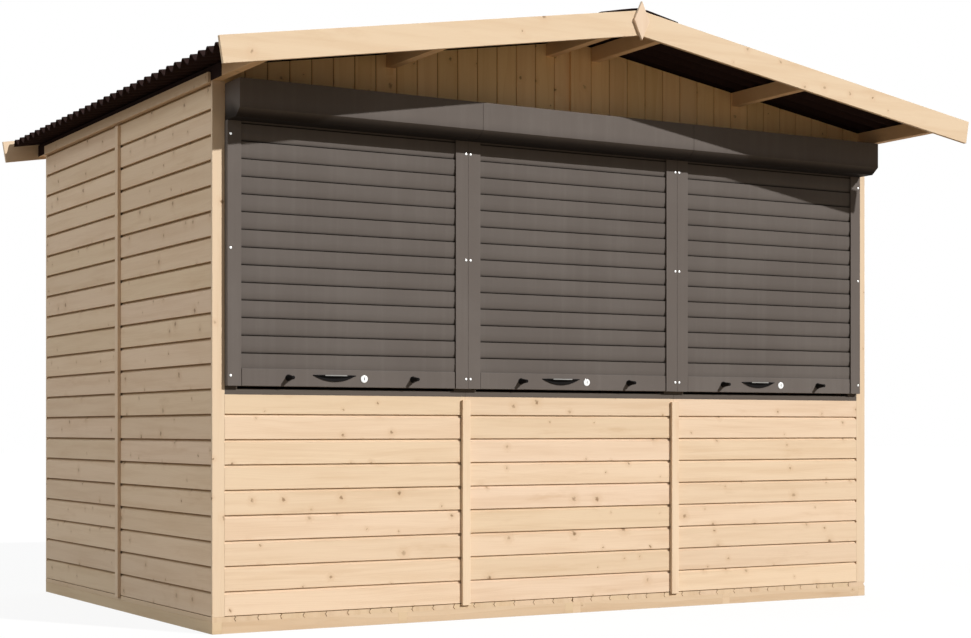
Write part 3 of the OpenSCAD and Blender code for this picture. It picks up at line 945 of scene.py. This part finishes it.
class KIOSK_OT_trim(bpy.types.Operator):
    """Corner strips, joint strips, door strips, wall plates, posts and header"""

    bl_idname = "kiosk.trim"
    bl_label = "Strips and plates"

    def execute(self, context):
        arris = context.scene.kiosk_timber.arris
        for node in ("corner_strips", "front_panel_strips", "side_wall_strips", "back_door_strips"):
            timber_copy(node, Z, X, trim_wood(), "trim_wood", arris)
        # Painted light: the gable strips' front faces get the brighter, warmer wood, their back faces the
        # plain trim
        gable_strips = timber_copy("gable_strips", Z, X, shade_brightened_wood(), "trim_wood", arris)
        paint(gable_strips, trim_wood(), lambda f: f.center.y > 0)
        timber_copy("wall_plates", Y, Z, trim_wood(), "trim_wood", arris)
        # Painted shade: the posts get the dark sill stain, so that the shaded gap under the guides reads
        # black
        timber_copy("front_posts", Z, X, sill_stain(), "sill_grey", arris)
        timber_copy("front_header", X, Z, sawn_wood(), "frame_wood", arris)
        return {"FINISHED"}


class KIOSK_OT_counter_sill(bpy.types.Operator):
    """Dark sill in three lengths, butted at the mullions"""

    bl_idname = "kiosk.counter_sill"
    bl_label = "Counter sill"

    def execute(self, context):
        sizes = context.scene.kiosk_timber
        piece = node_copy("counter_sill_stained", "counter_sill")
        low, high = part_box("counter_sill")
        bay = (high.x - low.x) / 3
        with editing(piece):
            for at in (low.x + bay, high.x - bay):
                groove(piece, X, at, Y, low.y, sizes.groove_w / 4, sizes.groove_d / 4)
        ease(piece, sizes.arris)
        mark_grain(piece, X, Z)
        piece.data.materials.append(sill_stain())
        hand_over(piece, "sill_grey", "counter_sill")
        return {"FINISHED"}


# Shutters

class KIOSK_OT_curtains(bpy.types.Operator):
    """Three shutter curtains of curved slats"""

    bl_idname = "kiosk.curtains"
    bl_label = "Shutter curtains"

    def slat(self, name, low, high, sizes):
        """Slat with its lower half curved back, between two set-back joints, at the foot of its curtain."""
        half = sizes.joint / 2
        step = 0.0001
        steps = 10
        face_h = sizes.pitch - sizes.joint
        curve = [
            (half + face_h * i / steps, sizes.bulge * max(0, 1 - 2 * i / steps) ** 2)
            for i in range(steps + 1)
        ]
        levels = [(half - step, sizes.joint_d), *curve, (sizes.pitch - half + step, sizes.joint_d)]
        slat = block(name, (low.x, low.y, 0), (high.x, high.y, sizes.pitch))
        with editing(slat):
            for level, _ in levels:
                cut((0, 0, level), Z)
            ends = [(0, sizes.joint_d), (sizes.pitch, sizes.joint_d)]
            for level, depth in levels + ends:
                pick(slat, "VERT", lambda v: abs(v.co.y - low.y) < NEAR and abs(v.co.z - level) < NEAR)
                bpy.ops.transform.translate(value=(0, depth, 0))
        # The joint depth sets painted shade in the joints between slats
        mark_joint(slat, Y, low.y, sizes.joint_d)
        return slat

    def execute(self, context):
        sizes = context.scene.kiosk_shutter
        for bay in BAYS:
            node = "curtain_" + bay
            low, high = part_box(node)
            model = self.slat(node + "_slat", low, high, sizes)
            start = low.z - sizes.lap
            count = math.ceil((high.z - start) / sizes.pitch)
            places = [Matrix.Translation((0, 0, start + i * sizes.pitch)) for i in range(count)]
            slats = [copy_to(model, place) for place in places]
            remove(model)
            piece = join(node + "_slats", slats)
            trim_to(piece, Z, low.z, high.z)
            smooth(piece, CORNER_ANGLE)
            piece.data.materials.append(slat_coat())
            hand_over(piece, "shutter_grey", node)
        return {"FINISHED"}


class KIOSK_OT_shutter_cases(bpy.types.Operator):
    """Guides, mullions, boxes and bottom bars with folded edges"""

    bl_idname = "kiosk.shutter_cases"
    bl_label = "Guides, boxes and bars"

    def execute(self, context):
        sizes = context.scene.kiosk_shutter
        fold = sizes.fold
        for node, width in (
            ("outer_guides", fold),
            ("mullion_guides", fold / 4),
            ("shutter_boxes", fold / 2),
            ("bottom_bars", 1.5 * fold),
        ):
            piece = ease(node_copy(node + "_coated", node), width, 3)
            if node == "shutter_boxes":
                # Painted shade on the boxes' lower bevel, darker towards the bottom
                mark_joint(piece, -Z, -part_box(node)[0].z - sizes.under_shade_h, sizes.under_shade_h)
            piece.data.materials.append(shutter_coat())
            hand_over(piece, "shutter_grey", node)
        return {"FINISHED"}


class KIOSK_OT_guide_plugs(bpy.types.Operator):
    """Bright screw plugs in the guides: one on each outer guide and a pair on each mullion"""

    bl_idname = "kiosk.guide_plugs"
    bl_label = "Screw plugs"

    def plug(self, sizes):
        """Low dome that stands out towards -Y."""
        bpy.ops.object.select_all(action="DESELECT")
        bpy.ops.mesh.primitive_cylinder_add(
            vertices=20, radius=sizes.plug_r, depth=sizes.plug_out, rotation=(math.pi / 2, 0, 0)
        )
        plug = bpy.context.active_object
        bpy.ops.object.transform_apply()
        front = -sizes.plug_out / 2
        flat_rim, rounding = 0.35 * sizes.plug_r, 0.7 * sizes.plug_out
        with editing(plug):
            pick(plug, "FACE", lambda f: f.calc_center_median().y < front + NEAR)
            bpy.ops.mesh.inset(thickness=flat_rim, depth=0)
            pick(
                plug,
                "EDGE",
                lambda e: all(abs(v.co.y - front) < NEAR and v.co.length > sizes.plug_r for v in e.verts),
            )
            bpy.ops.mesh.bevel(offset=rounding, segments=3)
        smooth(plug, SMOOTH_ANGLE)
        return plug

    def execute(self, context):
        sizes = context.scene.kiosk_shutter
        low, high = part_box("outer_guides")
        mullion = (high.x - low.x) / 6
        top, foot = high.z - sizes.plug_top, low.z + sizes.plug_foot
        columns = [low.x + sizes.plug_edge, high.x - sizes.plug_edge]
        for middle in (-mullion, mullion):
            columns += [middle - sizes.plug_pair, middle + sizes.plug_pair]
        model = self.plug(sizes)
        face = low.y - sizes.plug_out / 2
        plugs = [
            copy_to(model, Matrix.Translation((x, face, z)))
            for x in columns
            for z in (foot, (top + foot) / 2 + sizes.plug_rise, top)
        ]
        remove(model)
        piece = join("guide_plugs", plugs)
        piece.data.materials.append(bright_steel())
        hand_over(piece, "lock_steel")
        return {"FINISHED"}


def in_slot(face, deep, depth):
    """Whether a lock plate's face is a wall or the bottom of its slot, which lie deeper than its front."""
    upright, facing = abs(face.normal.y) < 0.3, face.normal.y < -0.9
    return (upright and deep < depth * 0.45) or (facing and deep > depth * 0.1)


class KIOSK_OT_fittings(bpy.types.Operator):
    """Stop stubs, pull handles and locks on the bottom bars"""

    bl_idname = "kiosk.fittings"
    bl_label = "Shutter fittings"

    def execute(self, context):
        fold = context.scene.kiosk_shutter.fold
        for node, slot, material, width in (
            ("stop_stubs", "black_plastic", black_plastic(), fold / 2),
            ("pull_handles", "black_plastic", black_plastic(), fold),
            ("lock_rosettes", "lock_steel", bright_steel(), fold / 4),
        ):
            piece = ease(node_copy(node + "_finished", node), width, 3)
            piece.data.materials.append(material)
            front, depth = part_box(node)[0].y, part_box(node)[1].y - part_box(node)[0].y
            if node == "pull_handles":
                # Painted highlight on the forward faces of each pull's lip
                painted_highlight = front + 0.35 * depth
                paint(piece, worn_edge(), lambda f: f.center.y < painted_highlight and f.normal.y < -0.3)
            elif node == "lock_rosettes":
                # Painted shade: the slot's walls and bottom get black, standing in for the shade of a deep
                # keyhole
                paint(piece, black_plastic(), lambda f: in_slot(f, f.center.y - front, depth))
            hand_over(piece, slot, node)
        return {"FINISHED"}


# Roof

class KIOSK_OT_roof_sheets(bpy.types.Operator):
    """Corrugated sheets and the ridge cap"""

    bl_idname = "kiosk.roof_sheets"
    bl_label = "Roof sheets"

    def execute(self, context):
        for node in ("roof_sheet_left", "roof_sheet_right", "ridge_cap"):
            piece = node_copy(node + "_bitumen", node)
            smooth(piece, SMOOTH_ANGLE)
            piece.data.materials.append(roofing())
            hand_over(piece, "bitumen", node)
        return {"FINISHED"}


class KIOSK_OT_roof_timber(bpy.types.Operator):
    """Purlins with dark outer faces at the eaves, barge boards and finials"""

    bl_idname = "kiosk.roof_timber"
    bl_label = "Purlins, barge boards and finials"

    def execute(self, context):
        arris = context.scene.kiosk_timber.arris
        purlins = timber_copy("purlins", Y, X, sawn_wood(), "purlin_wood", arris)
        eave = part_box("purlins")[1].x - arris
        wall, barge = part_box("corner_strips")[0].y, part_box("front_barges")[1].y
        dark_overhang = 0.2
        dark_end = wall + dark_overhang * (barge - wall)
        with editing(purlins):
            cut((0.0, dark_end, 0.0), Y)
        paint(purlins, roofing(), lambda f: abs(f.center.x) > eave and f.center.y > dark_end)
        for node in ("front_barges", "back_barges"):
            timber_copy(node, X, Z, trim_wood(), "trim_wood", arris)
        timber_copy("finials", Z, X, trim_wood(), "trim_wood", arris)
        return {"FINISHED"}


# Stage

# Each lamp's direction, width in degrees and colour
LAMPS = {
    "sun": ((0.42, -0.793, 0.476), 0.8, (1.0, 0.985, 0.96)),
    "left_fill": ((-0.80, 0.10, 0.56), 30.0, (0.90, 0.96, 1.0)),
    "rear_fill": ((0.45, 0.80, 0.40), 70.0, (1.0, 1.0, 1.0)),
}
SKY_TINT = (0.97, 0.985, 1.0, 1.0)
WHITE = (1.0, 1.0, 1.0, 1.0)
FLOOR_BOUNCE = (0.29, 0.225, 0.155, 1.0)
FLOOR_SEEN = (0.12, 0.12, 0.12, 1.0)
FLOOR_GLOW = 0.875
FLOOR_SIZE = 120.0
SENSOR_WIDTH = 36.0
VIEW_END = 200.0


class KIOSK_OT_stage(bpy.types.Operator):
    """Camera, pale floor and plain light"""

    bl_idname = "kiosk.stage"
    bl_label = "Stage"

    def camera(self, stage):
        data = bpy.data.cameras.new("camera")
        data.sensor_width = SENSOR_WIDTH
        data.lens = stage.lens
        data.shift_y = stage.rise
        data.clip_end = VIEW_END
        camera = link(bpy.data.objects.new("camera", data))
        camera.location = stage.eye
        camera.rotation_euler = (math.pi / 2, 0, -math.radians(stage.turn))
        bpy.context.scene.camera = camera

    def lamp(self, name, strength, towards, angle, colour):
        data = bpy.data.lights.new(name, "SUN")
        data.energy = strength
        data.angle = math.radians(angle)
        data.color = colour
        lamp = link(bpy.data.objects.new(name, data))
        lamp.rotation_euler = Vector(towards).to_track_quat("Z", "Y").to_euler()

    def floor(self):
        """Floor that looks pale, keeps the shadow and throws little light back."""
        bpy.ops.object.select_all(action="DESELECT")
        bpy.ops.mesh.primitive_plane_add(size=FLOOR_SIZE, location=(0, 0, 0))
        floor = bpy.context.active_object
        floor.name = "floor"
        material = bpy.data.materials.new("pale_floor")
        material.use_nodes = True
        tree = material.node_tree
        tree.nodes.clear()
        place = put(tree, "TexCoord").outputs["Object"]
        mottle = noise(tree, place, 0.6, 3.0)
        bounce = put(tree, "BsdfDiffuse", {"Color": FLOOR_BOUNCE})
        seen = put(tree, "BsdfDiffuse", {"Color": FLOOR_SEEN})
        glow_strength = linear(tree, mottle, 0.01, FLOOR_GLOW)
        glow = put(tree, "Emission", {"Strength": glow_strength})
        pale = put(tree, "AddShader", {0: seen.outputs[0], 1: glow.outputs[0]})
        shaders = {0: looked_at(tree), 1: bounce.outputs[0], 2: pale.outputs[0]}
        both = put(tree, "MixShader", shaders)
        put(tree, "OutputMaterial", {"Surface": both.outputs[0]})
        floor.data.materials.append(material)

    def world(self, stage):
        world = bpy.data.worlds.new("studio")
        world.use_nodes = True
        bpy.context.scene.world = world
        tree = world.node_tree
        tree.nodes.clear()
        soft = put(tree, "Background", {"Color": SKY_TINT, "Strength": stage.sky})
        white = put(tree, "Background", {"Color": WHITE, "Strength": 1.0})
        shaders = {0: looked_at(tree), 1: soft.outputs[0], 2: white.outputs[0]}
        both = put(tree, "MixShader", shaders)
        put(tree, "OutputWorld", {"Surface": both.outputs[0]})

    def execute(self, context):
        stage = context.scene.kiosk_stage
        context.scene.view_settings.view_transform = "Standard"
        self.camera(stage)
        self.floor()
        self.world(stage)
        strengths = {"sun": stage.sun, "left_fill": stage.fill, "rear_fill": stage.rear}
        for name, strength in strengths.items():
            self.lamp(name, strength, *LAMPS[name])
        return {"FINISHED"}


OPERATORS = [
    KIOSK_OT_stage,
    KIOSK_OT_floor,
    KIOSK_OT_wall_boards,
    KIOSK_OT_gable_boards,
    KIOSK_OT_back_door,
    KIOSK_OT_trim,
    KIOSK_OT_counter_sill,
    KIOSK_OT_curtains,
    KIOSK_OT_shutter_cases,
    KIOSK_OT_guide_plugs,
    KIOSK_OT_fittings,
    KIOSK_OT_roof_sheets,
    KIOSK_OT_roof_timber,
]


class KIOSK_PT_pieces(bpy.types.Panel):
    """Lists the pieces of the kiosk with their sizes and colours"""

    bl_idname = "KIOSK_PT_pieces"
    bl_label = "Sales kiosk"
    bl_space_type = "VIEW_3D"
    bl_region_type = "UI"
    bl_category = "Kiosk"

    def draw(self, context):
        for operator in OPERATORS:
            self.layout.operator(operator.bl_idname)
        for name, group in PROPERTY_GROUPS.items():
            box = self.layout.box()
            for field in group.__annotations__:
                box.prop(getattr(context.scene, name), field)


CLASSES = [*PROPERTY_GROUPS.values(), *OPERATORS, KIOSK_PT_pieces]


def register():
    for cls in CLASSES:
        bpy.utils.register_class(cls)
    for name, group in PROPERTY_GROUPS.items():
        setattr(bpy.types.Scene, name, PointerProperty(type=group))


def unregister():
    for name in PROPERTY_GROUPS:
        delattr(bpy.types.Scene, name)
    for cls in reversed(CLASSES):
        bpy.utils.unregister_class(cls)


def main():
    register()
    for operator in OPERATORS:
        family, name = operator.bl_idname.split(".")
        getattr(getattr(bpy.ops, family), name)()


if __name__ == "__main__":
    main()
